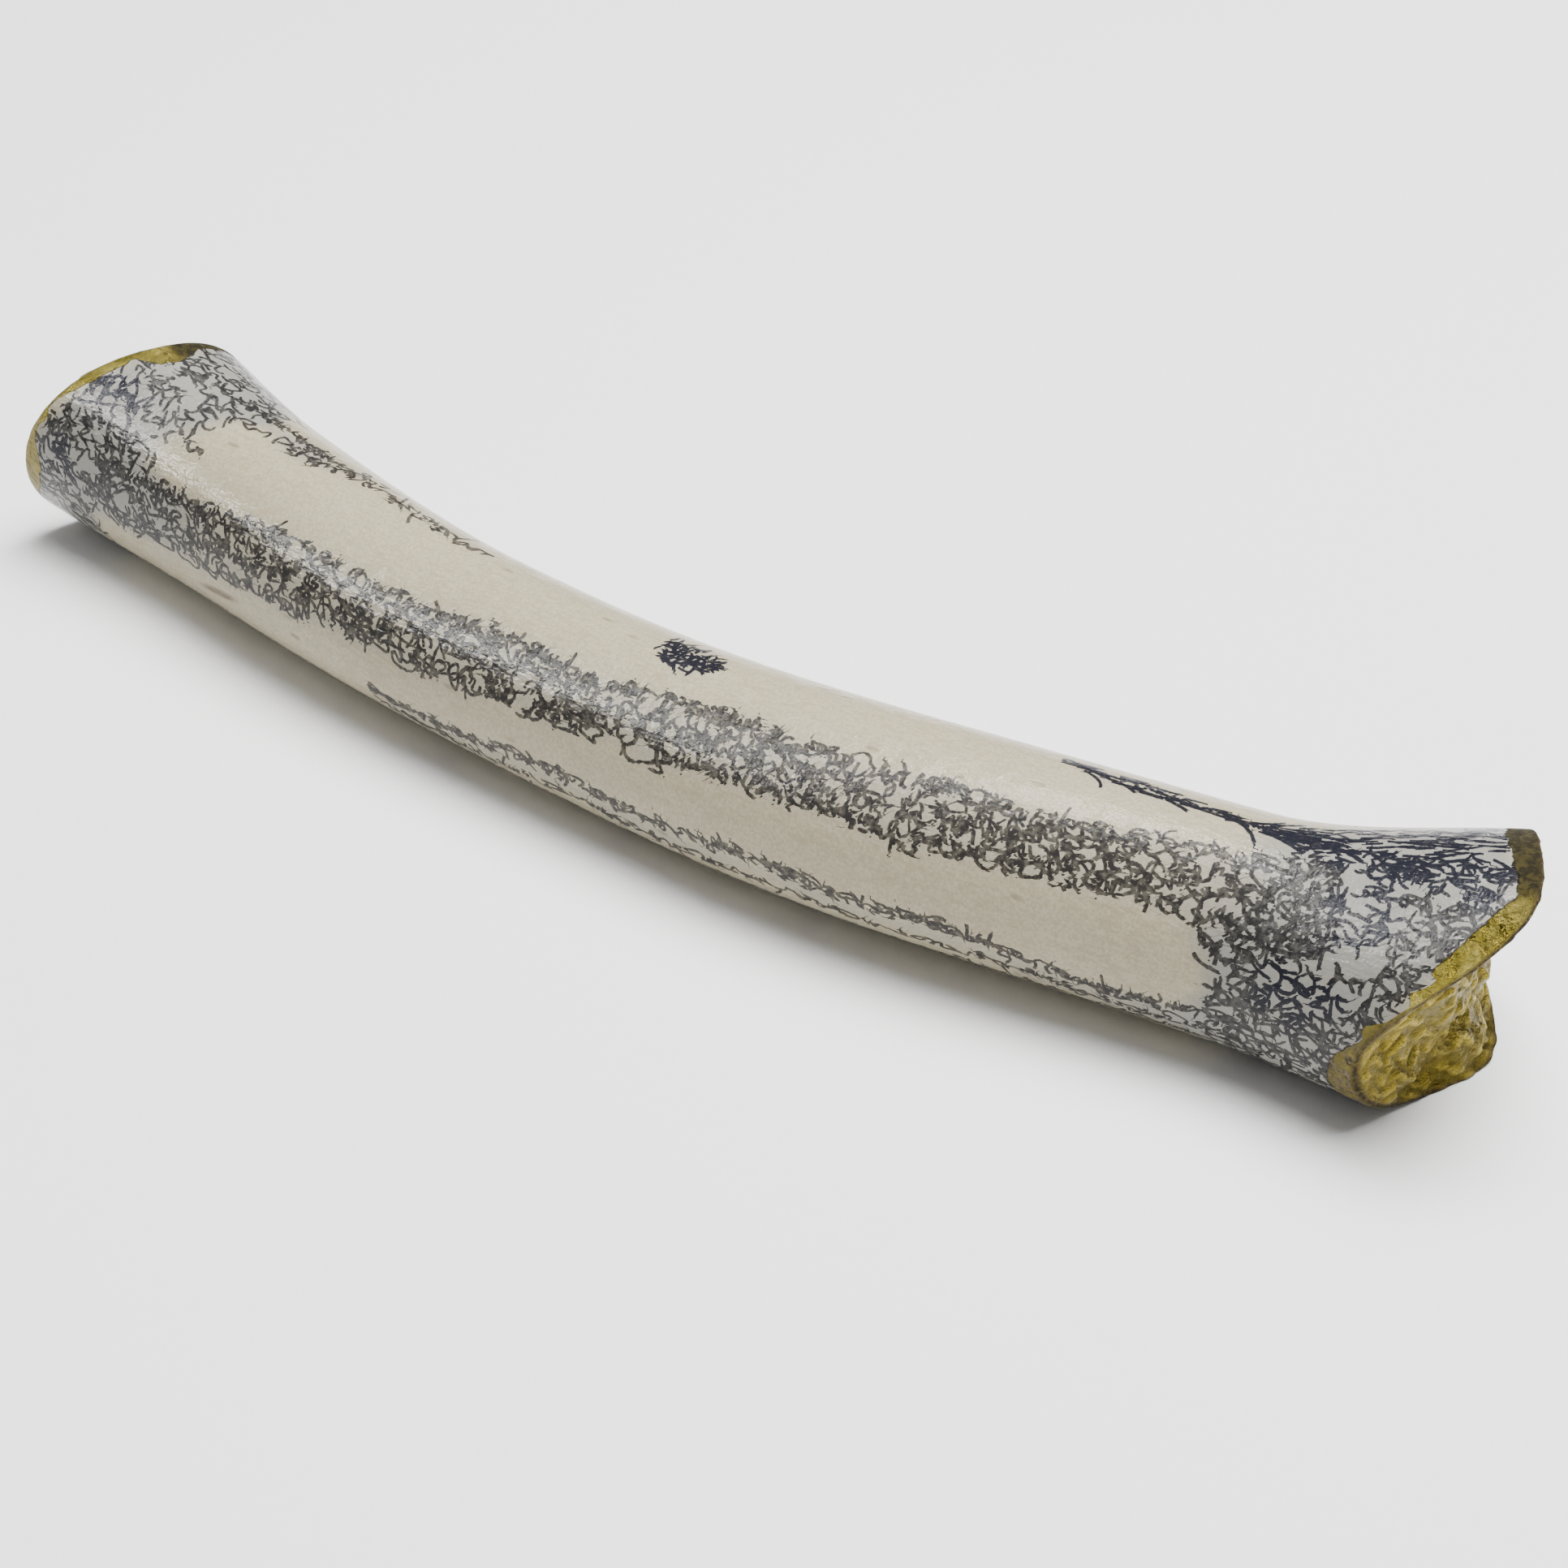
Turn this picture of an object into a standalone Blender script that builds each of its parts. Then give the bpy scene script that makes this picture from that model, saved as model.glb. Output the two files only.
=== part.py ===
"""The shaft of a young animal's long bone, inked and gilded, lying on its side: one solid piece.

X runs along the bone from the slim end to the broad end, the bow is level and bulges towards -Y, and
+Z is up. The underside touches z = 0 at three small flat spots, near each end and at mid length.
Around the bone, 0 degrees is the front (-Y), 90 the top, 180 the back and 270 the underside.
"""

import bmesh
import bpy
import numpy as np

# The shaft, in metres.
SPAN = 0.152  # between the two end stations, u = -1 and u = +1
SHAFT_RADIUS = 0.00905  # half the thickness at mid length
TAPER = 0.118  # share by which the thickness grows from mid length to the broad end
ROUNDNESS = 2.11  # 2 is an ellipse, more is squarer

# The bow of the centre line: y = (1 - u * u) * (-BOW + BOW_SKEW * u + BOW_EASE * u * u).
BOW = 0.00909
BOW_SKEW = 0.00005
BOW_EASE = 0.00246

# The front side's gentle waves along the bone.
FRONT_WAVE = 0.00040  # height
FRONT_WAVE_AT = 0.30  # the place of a crest, u
FRONT_WAVE_LENGTH = 0.75  # from crest to crest, in u

# How far each side swells towards an end, as shares of SHAFT_RADIUS: front, top, back, underside.
SLIM_FLARE = (0.189, 0.301, 0.337, 0.222)
SLIM_FLARE_FROM, SLIM_FLARE_TO = 0.29, 1.05
SLIM_LIP = (0.129, 0.081, 0.125, 0.175)
SLIM_LIP_FROM, SLIM_LIP_TO = 0.70, 1.02
BROAD_FLARE = (0.395, 0.45, 0.518, 0.036)
BROAD_FLARE_FROM, BROAD_FLARE_TO = 0.736, 1.10

# Each end face is a warped disc: its mean place along X, then waves of (order, height, peak in degrees).
SLIM_PLACE = -0.07213
SLIM_WAVES = ((1, 0.00480, 145.1), (2, 0.00076, 55.4), (3, 0.00023, -24.0))
BROAD_PLACE = 0.07524
BROAD_WAVES = ((1, 0.00249, 128.4), (2, 0.00332, 79.6), (3, 0.00023, 37.5), (4, 0.00074, -29.1))
HORN = 0.0005  # how far the broad end's upper rim stands out beyond its waves
HORN_AT = 88.0  # degrees round the bone
RIM_ROUND = 0.0006  # radius of the edge between a side and an end face

# The bumpy relief of both end faces: (length of a swell, its height, its direction in degrees).
SWELLS = ((0.0125, 0.00055, 20.0), (0.0082, 0.00045, 78.0), (0.0058, 0.00030, 131.0))
CROWN = 0.0010  # the middle of the slim end's face stands this far out
GROOVE = 0.0011  # depth of the groove inside the broad end's upper front rim
GROOVE_AT = 42.0  # degrees round the bone
GROOVE_WIDTH = 0.30  # as a share of the face's radius

# The underside.
REST_DEPTH = 0.00035  # how much is worn flat where the bone touches down
REST_RISE = 0.0006  # how far the underside clears the ground between its three spots
REST_SPOT = 0.9  # the outer spots' place, u

# The mesh.
AROUND = 48
SHAFT_RINGS = 48
FACE_RINGS = 13

IVORY = (0.76, 0.70, 0.58, 1.0)
GOLD = (0.62, 0.47, 0.10, 1.0)


def ease(value, start, end):
    """0 up to start, 1 from end on, with a smooth S between."""
    t = np.clip((value - start) / (end - start), 0.0, 1.0)
    return t * t * (3.0 - 2.0 * t)


def centre_line(along):
    """The centre line's y, and its slope, at places along X."""
    u = along / (SPAN / 2)
    bend = -BOW + BOW_SKEW * u + BOW_EASE * u * u
    bend_slope = BOW_SKEW + 2 * BOW_EASE * u
    y = (1 - u * u) * bend
    slope = ((1 - u * u) * bend_slope - 2 * u * bend) / (SPAN / 2)
    return y, slope


def half_widths(along):
    """The distance from the centre line to the front, top, back and underside."""
    u = along / (SPAN / 2)
    slim = ease(-u, SLIM_FLARE_FROM, SLIM_FLARE_TO)
    lip = ease(-u, SLIM_LIP_FROM, SLIM_LIP_TO)
    broad = ease(u, BROAD_FLARE_FROM, BROAD_FLARE_TO)
    front, top, back, under = [
        SHAFT_RADIUS * (1 + TAPER * u + slim * s + lip * l + broad * b)
        for s, l, b in zip(SLIM_FLARE, SLIM_LIP, BROAD_FLARE)
    ]
    wave = FRONT_WAVE * np.cos(2 * np.pi * (u - FRONT_WAVE_AT) / FRONT_WAVE_LENGTH)
    return front + wave, top, back, under


def section_radius(along, around):
    """The bone's radius at a place along X and an angle round it."""
    front, top, back, under = half_widths(along)
    across = np.cos(around)
    upright = np.sin(around)
    wide = np.where(across > 0, front, back)
    tall = np.where(upright > 0, top, under)
    total = (np.abs(across) / wide) ** ROUNDNESS + (np.abs(upright) / tall) ** ROUNDNESS
    return total ** (-1 / ROUNDNESS)


def bone_points(along, around, reach):
    """Points at a share `reach` of the way from the centre line to the surface."""
    y, slope = centre_line(along)
    length = np.hypot(1.0, slope)
    out = reach * section_radius(along, around)
    across = out * np.cos(around)
    under = half_widths(along)[3]
    clearance = REST_RISE * np.sin(np.pi * along / (SPAN / 2) / REST_SPOT) ** 2
    z = under + clearance - REST_DEPTH + out * np.sin(around)
    return np.stack([along + across * slope / length, y - across / length, np.maximum(z, 0.0)], -1)


def warp(place, waves, around, reach):
    """The place along X of a warped disc, at an angle and a share of its radius."""
    total = place + np.zeros_like(around)
    for order, height, peak in waves:
        total = total + height * reach**order * np.cos(order * (around - np.radians(peak)))
    return total


def relief(around, reach):
    """The growth plate's soft swells, fading out at the rim."""
    total = np.zeros_like(around)
    for length, height, direction in SWELLS:
        lead = reach * 1.4 * SHAFT_RADIUS * np.cos(around - np.radians(direction))
        side = reach * 1.4 * SHAFT_RADIUS * np.sin(around - np.radians(direction))
        total = total + height * np.sin(2 * np.pi * lead / length + direction) * np.cos(4 * side / length)
    return total * (1 - reach**6)


def slim_face(around, reach):
    """Where the slim end's face lies along X."""
    crown = CROWN * (1 - reach * reach)
    return warp(SLIM_PLACE, SLIM_WAVES, around, reach) - crown - relief(around, reach)


def broad_face(around, reach):
    """Where the broad end's face lies along X, with its raised upper rim and the groove inside it."""
    near = np.maximum(0.0, np.cos(around - np.radians(GROOVE_AT))) ** 2
    groove = GROOVE * near * np.sin(np.pi * ease(reach, 1 - 2 * GROOVE_WIDTH, 1.0))
    horn = HORN * reach**4 * np.maximum(0.0, np.cos(around - np.radians(HORN_AT))) ** 4
    return warp(BROAD_PLACE, BROAD_WAVES, around, reach) + horn - groove + relief(around, reach)


def ring_points(ring, around):
    """The points of one ring of the mesh, counted from the slim end's centre to the broad end's."""
    last = 2 * FACE_RINGS + SHAFT_RINGS + 4
    slim_side = ring < last / 2
    face = slim_face if slim_side else broad_face
    inwards = 1.0 if slim_side else -1.0
    from_end = ring if slim_side else last - ring
    rim = face(around, 1.0)
    rounding = RIM_ROUND / section_radius(rim, around)
    if from_end <= FACE_RINGS:
        reach = (from_end / FACE_RINGS) * (1 - rounding)
        return bone_points(face(around, reach), around, reach)
    if from_end == FACE_RINGS + 1:
        corner = 1 - np.sqrt(0.5)
        return bone_points(rim + inwards * corner * RIM_ROUND, around, 1 - corner * rounding)
    start = slim_face(around, 1.0) + RIM_ROUND
    end = broad_face(around, 1.0) - RIM_ROUND
    t = (ring - FACE_RINGS - 2) / SHAFT_RINGS
    closer_at_ends = 0.5 * t + 0.25 * (1 - np.cos(np.pi * t))
    return bone_points(start + (end - start) * closer_at_ends, around, 1.0)


def material(name, colour, roughness, metallic):
    made = bpy.data.materials.new(name)
    made.use_nodes = True
    shader = made.node_tree.nodes["Principled BSDF"]
    shader.inputs["Base Color"].default_value = colour
    shader.inputs["Roughness"].default_value = roughness
    shader.inputs["Metallic"].default_value = metallic
    return made


def shape_sphere(mesh):
    """Moves a sphere's rings onto the bone, with its north pole at the slim end's centre."""
    rings = 2 * FACE_RINGS + SHAFT_RINGS + 4
    bm = bmesh.new()
    bmesh.ops.create_uvsphere(bm, u_segments=AROUND, v_segments=rings, radius=1.0)
    bm.verts.ensure_lookup_table()
    start = np.array([v.co for v in bm.verts])
    ring = np.rint(np.arccos(np.clip(start[:, 2], -1, 1)) / np.pi * rings).astype(int)
    around = np.arctan2(start[:, 1], start[:, 0])
    points = np.zeros_like(start)
    for number in range(rings + 1):
        chosen = ring == number
        points[chosen] = ring_points(number, around[chosen])
    points[:, :2] -= (points[:, :2].min(axis=0) + points[:, :2].max(axis=0)) / 2
    for vert, point in zip(bm.verts, points):
        vert.co = point
    for face in bm.faces:
        inner = min(ring[vert.index] for vert in face.verts)
        on_face = inner <= FACE_RINGS + 1 or inner >= rings - FACE_RINGS - 2
        face.material_index = int(on_face)
        face.smooth = True
    bm.to_mesh(mesh)
    bm.free()


def main():
    for old in list(bpy.data.objects):
        bpy.data.objects.remove(old)
    parts = bpy.data.collections.new("inked_bone")
    bpy.context.scene.collection.children.link(parts)
    mesh = bpy.data.meshes.new("bone")
    mesh.materials.append(material("bone_ivory", IVORY, 0.38, 0.0))
    mesh.materials.append(material("gold_leaf", GOLD, 0.35, 1.0))
    shape_sphere(mesh)
    parts.objects.link(bpy.data.objects.new("bone", mesh))


main()
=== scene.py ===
"""The finished look of a young animal's long bone, inked and gilded, lying on its side in a studio.

X runs along the bone from the slim end to the broad end, the bow bulges towards -Y, and +Z is up.
Around the bone, 0 degrees is the front (-Y), 90 the top, 180 the back and 270 the underside. A place
along the bone is also given as u, from -1 near the slim end to +1 near the broad end.
"""

import math
import random

import bmesh
import bpy
import numpy as np
from mathutils import Matrix, Vector


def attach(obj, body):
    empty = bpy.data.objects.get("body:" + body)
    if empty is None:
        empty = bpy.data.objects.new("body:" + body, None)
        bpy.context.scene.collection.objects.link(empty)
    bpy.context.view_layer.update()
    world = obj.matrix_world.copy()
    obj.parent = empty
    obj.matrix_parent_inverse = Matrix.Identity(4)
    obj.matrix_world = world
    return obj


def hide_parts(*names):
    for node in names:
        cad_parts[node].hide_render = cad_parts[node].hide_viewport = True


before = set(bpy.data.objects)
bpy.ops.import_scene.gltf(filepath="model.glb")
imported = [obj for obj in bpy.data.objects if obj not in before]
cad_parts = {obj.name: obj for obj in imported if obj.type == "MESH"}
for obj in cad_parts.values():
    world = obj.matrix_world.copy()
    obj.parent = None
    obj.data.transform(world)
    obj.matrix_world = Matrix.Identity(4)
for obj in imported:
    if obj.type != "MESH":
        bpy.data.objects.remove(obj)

bl_info = {
    "name": "Inked Bone",
    "version": (1, 0, 0),
    "blender": (4, 5, 0),
    "location": "3D View > Sidebar > Bone",
    "description": "Builds a long bone with pen marks and gold leaf on it, and a plain studio round it",
    "category": "Add Mesh",
}

# The bone's form, in metres, as its solid has it.
SPAN = 0.152
SHAFT_RADIUS = 0.00905
TAPER = 0.118
ROUNDNESS = 2.11
BOW = 0.00909
BOW_SKEW = 0.00005
BOW_EASE = 0.00246
FRONT_WAVE = 0.00040
FRONT_WAVE_AT = 0.30
FRONT_WAVE_LENGTH = 0.75
SLIM_FLARE = (0.189, 0.301, 0.337, 0.222)
SLIM_FLARE_FROM, SLIM_FLARE_TO = 0.29, 1.05
SLIM_LIP = (0.129, 0.081, 0.125, 0.175)
SLIM_LIP_FROM, SLIM_LIP_TO = 0.70, 1.02
BROAD_FLARE = (0.395, 0.45, 0.518, 0.036)
BROAD_FLARE_FROM, BROAD_FLARE_TO = 0.736, 1.10
SLIM_PLACE = -0.07213
SLIM_WAVES = ((1, 0.00480, 145.1), (2, 0.00076, 55.4), (3, 0.00023, -24.0))
BROAD_PLACE = 0.07524
BROAD_WAVES = ((1, 0.00249, 128.4), (2, 0.00332, 79.6), (3, 0.00023, 37.5), (4, 0.00074, -29.1))
HORN = 0.0005
HORN_AT = 88.0
RIM_ROUND = 0.0006
SWELLS = ((0.0125, 0.00055, 20.0), (0.0082, 0.00045, 78.0), (0.0058, 0.00030, 131.0))
CROWN = 0.0010
GROOVE = 0.0011
GROOVE_AT = 42.0
GROOVE_WIDTH = 0.30
REST_DEPTH = 0.00035
REST_RISE = 0.0006
REST_SPOT = 0.9
CENTRING = np.array([-0.001125, 0.002796, 0.0])  # puts the middle of the bone's box over the origin
FACE_SPREAD = 1.4  # the end faces' radius, as a share of the shaft's

# The finished surface's mesh.
AROUND = 168
SHAFT_RINGS = 408
FACE_RINGS = 46
ROUND_RINGS = 3
LAST_RING = 2 * (FACE_RINGS + ROUND_RINGS) + SHAFT_RINGS + 2
FIRST_SIDE_RING = FACE_RINGS + ROUND_RINGS + 1

# The growth plates' lumps: length, breadth and height of one, and the rows' direction in degrees.
LUMP_LENGTH = 0.0029
LUMP_BREADTH = 0.0018
BROAD_LUMP_HEIGHT = 0.00055
SLIM_LUMP_HEIGHT = 0.00045
LUMP_DIRECTION = 35.0
LUMP_SHIFT = 0.36  # how far a lump is off its place in the rows, as a share of its size
LUMP_ROWS = 40  # rows and columns before the shifts repeat
SLIM_LUMP_SEED, BROAD_LUMP_SEED = 3, 5

MILLIMETRES = 1000  # in a metre

# How far the gold leaf reaches from each rim: (degrees round the bone, millimetres).
SLIM_LEAF = ((-180, 1.2), (-120, 0.8), (-60, 0.3), (-34, 0.7), (-20, 2.2), (-6, 2.8), (10, 1.5), (18, 0.8))
SLIM_LEAF += ((26, 1.1), (34, 0.5), (44, 1.0), (56, 1.5), (70, 1.5), (80, 1.2), (88, 3.0), (100, 3.0))
SLIM_LEAF += ((115, 1.7), (130, 1.2), (150, 0.9), (180, 1.2))
BROAD_LEAF = ((-180, 1.8), (-120, 2.4), (-60, 2.0), (-21, 2.9), (0, 1.9), (10, 0.6), (17, 1.5), (23, 0.3))
BROAD_LEAF += ((29, 0.4), (34, 1.8), (40, 1.2), (43, 2.7), (49, 3.0))
BROAD_LEAF += ((66, 2.9), (76, 1.7), (89, 2.5), (112, 3.0), (145, 1.9), (180, 1.8))

# Bands of pen marks: (u, then the lower and the upper edge in degrees round the bone).
FRONT_BAND = ((-0.86, -12, 27), (-0.65, -3, 44), (-0.46, 9, 50), (-0.29, 16, 56), (-0.11, 24, 63))
FRONT_BAND += ((0.08, 31, 67), (0.25, 31, 69), (0.38, 28, 67), (0.54, 33, 68), (0.64, 38, 74), (0.86, 34, 84))
LOW_BAND = ((-0.37, -46, -18), (-0.18, -48, -10), (0.14, -48, -4), (0.41, -48, -5), (0.50, -47, -11))
LOW_BAND += ((0.62, -46, -16), (0.80, -44, -8))
TOP_ROW = ((-0.72, 90, 113), (-0.60, 93, 115), (-0.50, 103, 120), (-0.40, 106, 118), (-0.30, 104, 112))
SIDE_MARK = ((-0.02, 88, 108), (0.01, 85, 110), (0.035, 85, 108), (0.06, 92, 102))
BOLD_ROW = ((0.49, 108, 118), (0.59, 101, 110), (0.70, 97, 105), (0.82, 93, 100))
BROAD_FLECKS = ((0.74, 96, 104), (0.82, 88, 112), (0.92, 78, 118), (1.0, 70, 120))
BACK_ROWS = ((-0.76, 172, 206), (-0.30, 178, 208), (0.20, 170, 204), (0.78, 176, 214))
UNDER_ROW = ((-0.70, 236, 250), (0.0, 240, 252), (0.72, 232, 250))

# How far the dense marks reach from each end: (degrees round the bone, u).
SLIM_DENSE_TO = ((-180, -0.80), (-60, -0.90), (-15, -0.86), (18, -0.82), (35, -0.80), (58, -0.765))
SLIM_DENSE_TO += ((70, -0.735), (104, -0.71), (130, -0.70), (160, -0.78), (180, -0.80))
BROAD_DENSE_FROM = ((-180, 0.86), (-60, 0.76), (15, 0.745), (36, 0.75), (55, 0.775), (76, 0.80), (88, 0.88))
BROAD_DENSE_FROM += ((96, 0.90), (108, 0.84), (135, 0.80), (180, 0.86))

# Where the pen bore harder: (u, degrees round the bone, reach in u, reach in degrees).
DARK_SPOTS = ((-0.89, 58, 0.05, 15), (-0.93, 8, 0.03, 12), (0.93, 92, 0.05, 14))
DARK_SPOTS += ((0.90, 60, 0.04, 10), (0.84, 18, 0.04, 12))

# How the marks are drawn. Lengths are in metres.
SEED = 20
PEN_LIFTS = 0.5  # share of a row's marks that the pen is lifted before
TALL_STROKES = 0.045  # share of a row's marks with a tall stroke beside them
UNEVEN = (0.85, 1.15)  # least and most of a line's width, as a share of the pen's
UPPER_FRONT = 0.8  # radians round the bone, where most of the loose strokes lie
UNDER_LEAF = 0.0012  # how far the marks run on under the leaf's edge
BY_LEAF = 0.3  # share of a tangle's strokes that crowd at the leaf's edge
BY_LEAF_REACH = 0.02  # how far they stray from it, in u
FLECK_TRIES = 12  # how often a clear place is looked for
ENDWAYS = 0.4  # what a gap along the bone counts for, next to one round it
DARKENED = 0.5  # share of the strokes in a dark spot that are bold
DARK_WIDTH = 1.12  # how much wider those are

# How the marks are laid on the mesh.
PEN_STEP = 0.0002  # metres between the points of a line
PEN_PIECE = 4  # steps of a line that are laid at a time
PEN_MARGIN = 1.6  # faces that are searched on each side of a piece
PEN_PAST = 0.00014  # metres that a piece runs on past its ends
PEN_NEAR = 1.3  # a line this near a face's corner is on the face, in half pen widths
PEN_SLOTS = 8  # how many lines can cross one face of the mesh
PEN_FAR = 9.0  # the value of an empty slot
WASH_BLUR = 6  # faces that the ink's grey wash spreads over
NAVY_BLUR = 2  # faces that the bold strokes' blue-black spreads over

# Colours, from 0 to 1.
IVORY = (0.375, 0.335, 0.233)
INK = (0.013, 0.012, 0.013)
GOLD = (0.36, 0.295, 0.078)
FLOOR = (0.95, 0.95, 0.95)
PORE = (0.10, 0.07, 0.04)
STAIN = (0.085, 0.055, 0.028)
WASH = (0.19, 0.195, 0.195)
NAVY = (0.004, 0.005, 0.013)
SCUFFED_AND_SHADED = ((0.15, 0.125, 0.075), (0.055, 0.044, 0.027))  # where the leaf is rubbed through, darkened as painted shade too
WORN_RIM = ((0.075, 0.055, 0.028), (0.03, 0.022, 0.012))

# The studio, in metres.
FLOOR_SIZE = 3.0  # half its side
KEY_PLACE = (0.10, 0.12, 0.63)
KEY_AIM = (0, 0, 0.01)
KEY_SIZE = (0.45, 0.45)
CAMERA_PLACE = (0.15929, -0.21603, 0.20949)
CAMERA_AIM = (0.00781, -0.00041, 0.00361)
SENSOR_WIDTH = 36.0  # millimetres

# Long thin lights that show only as gleams on the bone: (name, start, end, width, power).
GLEAMS = (
    ("gleam_slim_end", (-0.50, -0.30, 0.30), (-0.34, -0.38, 0.36), 0.06, 3.6),
    ("gleam_front", (-0.34, -0.37, 0.37), (-0.24, -0.03, 0.55), 0.03, 3.6),
    ("gleam_top", (-0.215, 0.03, 0.56), (-0.13, 0.29, 0.51), 0.05, 3.3),
    ("gleam_broad_end", (-0.15, 0.28, 0.50), (-0.225, 0.282, 0.455), 0.04, 0.6),
)


def ease(value, start, end):
    """0 up to start, 1 from end on, with a smooth S between."""
    t = np.clip((value - start) / (end - start), 0.0, 1.0)
    return t * t * (3.0 - 2.0 * t)


def read_off(table, at):
    """The value at a place in a table of (place, value) rows."""
    return np.interp(at, *np.array(table, float).T)


def centre_line(along):
    """The centre line's y, and its slope, at places along X."""
    u = along / (SPAN / 2)
    bend = -BOW + BOW_SKEW * u + BOW_EASE * u * u
    bend_slope = BOW_SKEW + 2 * BOW_EASE * u
    y = (1 - u * u) * bend
    slope = ((1 - u * u) * bend_slope - 2 * u * bend) / (SPAN / 2)
    return y, slope


def half_widths(along):
    """The distance from the centre line to the front, top, back and underside."""
    u = along / (SPAN / 2)
    slim = ease(-u, SLIM_FLARE_FROM, SLIM_FLARE_TO)
    lip = ease(-u, SLIM_LIP_FROM, SLIM_LIP_TO)
    broad = ease(u, BROAD_FLARE_FROM, BROAD_FLARE_TO)
    front, top, back, under = [
        SHAFT_RADIUS * (1 + TAPER * u + slim * s + lip * l + broad * b)
        for s, l, b in zip(SLIM_FLARE, SLIM_LIP, BROAD_FLARE)
    ]
    wave = FRONT_WAVE * np.cos(2 * np.pi * (u - FRONT_WAVE_AT) / FRONT_WAVE_LENGTH)
    return front + wave, top, back, under


def section_radius(along, around):
    """The bone's radius at a place along X and an angle round it."""
    front, top, back, under = half_widths(along)
    across = np.cos(around)
    upright = np.sin(around)
    wide = np.where(across > 0, front, back)
    tall = np.where(upright > 0, top, under)
    total = (np.abs(across) / wide) ** ROUNDNESS + (np.abs(upright) / tall) ** ROUNDNESS
    return total ** (-1 / ROUNDNESS)


def bone_points(along, around, reach):
    """Points at a share `reach` of the way from the centre line to the surface."""
    y, slope = centre_line(along)
    length = np.hypot(1.0, slope)
    out = reach * section_radius(along, around)
    across = out * np.cos(around)
    under = half_widths(along)[3]
    clearance = REST_RISE * np.sin(np.pi * along / (SPAN / 2) / REST_SPOT) ** 2
    z = under + clearance - REST_DEPTH + out * np.sin(around)
    points = np.stack([along + across * slope / length, y - across / length, np.maximum(z, 0.0)], -1)
    return points + CENTRING


def warp(place, waves, around, reach):
    """The place along X of a warped disc, at an angle and a share of its radius."""
    total = place + np.zeros_like(around)
    for order, height, peak in waves:
        total = total + height * reach**order * np.cos(order * (around - np.radians(peak)))
    return total


def relief(around, reach):
    """The growth plate's soft swells, fading out at the rim."""
    total = np.zeros_like(around)
    for length, height, direction in SWELLS:
        lead = reach * FACE_SPREAD * SHAFT_RADIUS * np.cos(around - np.radians(direction))
        side = reach * FACE_SPREAD * SHAFT_RADIUS * np.sin(around - np.radians(direction))
        total = total + height * np.sin(2 * np.pi * lead / length + direction) * np.cos(4 * side / length)
    return total * (1 - reach**6)


def slim_face(around, reach):
    """Where the slim end's face lies along X."""
    crown = CROWN * (1 - reach * reach)
    return warp(SLIM_PLACE, SLIM_WAVES, around, reach) - crown - relief(around, reach)


def broad_face(around, reach):
    """Where the broad end's face lies along X, with its raised upper rim and the groove inside it."""
    near = np.maximum(0.0, np.cos(around - np.radians(GROOVE_AT))) ** 2
    groove = GROOVE * near * np.sin(np.pi * ease(reach, 1 - 2 * GROOVE_WIDTH, 1.0))
    horn = HORN * reach**4 * np.maximum(0.0, np.cos(around - np.radians(HORN_AT))) ** 4
    return warp(BROAD_PLACE, BROAD_WAVES, around, reach) + horn - groove + relief(around, reach)


def lumps(across, upright, seed):
    """Rows of rounded lumps that wander a little, from 0 in the creases between them to 1 on a crown."""
    across, upright = (
        across + 0.0006 * np.sin(upright * 1900 + 1.3) + 0.0002 * np.sin(upright * 5200 + across * 3100),
        upright + 0.0005 * np.sin(across * 2300 + 0.7),
    )
    turn = math.radians(LUMP_DIRECTION)
    lead = (across * math.cos(turn) + upright * math.sin(turn)) / LUMP_LENGTH
    side = (upright * math.cos(turn) - across * math.sin(turn)) / LUMP_BREADTH
    shifts = np.random.default_rng(seed).uniform(-LUMP_SHIFT, LUMP_SHIFT, (LUMP_ROWS, LUMP_ROWS, 2))
    nearest = np.full(lead.shape, np.inf)
    second = np.full(lead.shape, np.inf)
    column = np.floor(lead).astype(int)
    row = np.floor(side).astype(int)
    for step_lead in (-1, 0, 1):
        for step_side in (-1, 0, 1):
            i = column + step_lead
            j = row + step_side
            shift = shifts[i % LUMP_ROWS, j % LUMP_ROWS]
            stagger = 0.5 * (j % 2)
            gap = np.hypot(i + 0.5 + stagger - 0.25 + shift[..., 0] - lead, j + 0.5 + shift[..., 1] - side)
            second = np.minimum(second, np.maximum(nearest, gap))
            nearest = np.minimum(nearest, gap)
    return ease(second - nearest, -0.15, 0.85) * (1 - 0.5 * nearest)


def side_start(around):
    """Where the side begins along X, next to the slim end's rounded rim."""
    return slim_face(around, 1.0) + RIM_ROUND


def side_end(around):
    """Where the side ends along X, next to the broad end's rounded rim."""
    return broad_face(around, 1.0) - RIM_ROUND


def place_along(ring, around):
    """Where the side's rings lie along X, before the bow moves them."""
    start = side_start(around)
    return start + (side_end(around) - start) * ((ring - FIRST_SIDE_RING) / SHAFT_RINGS)


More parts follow.
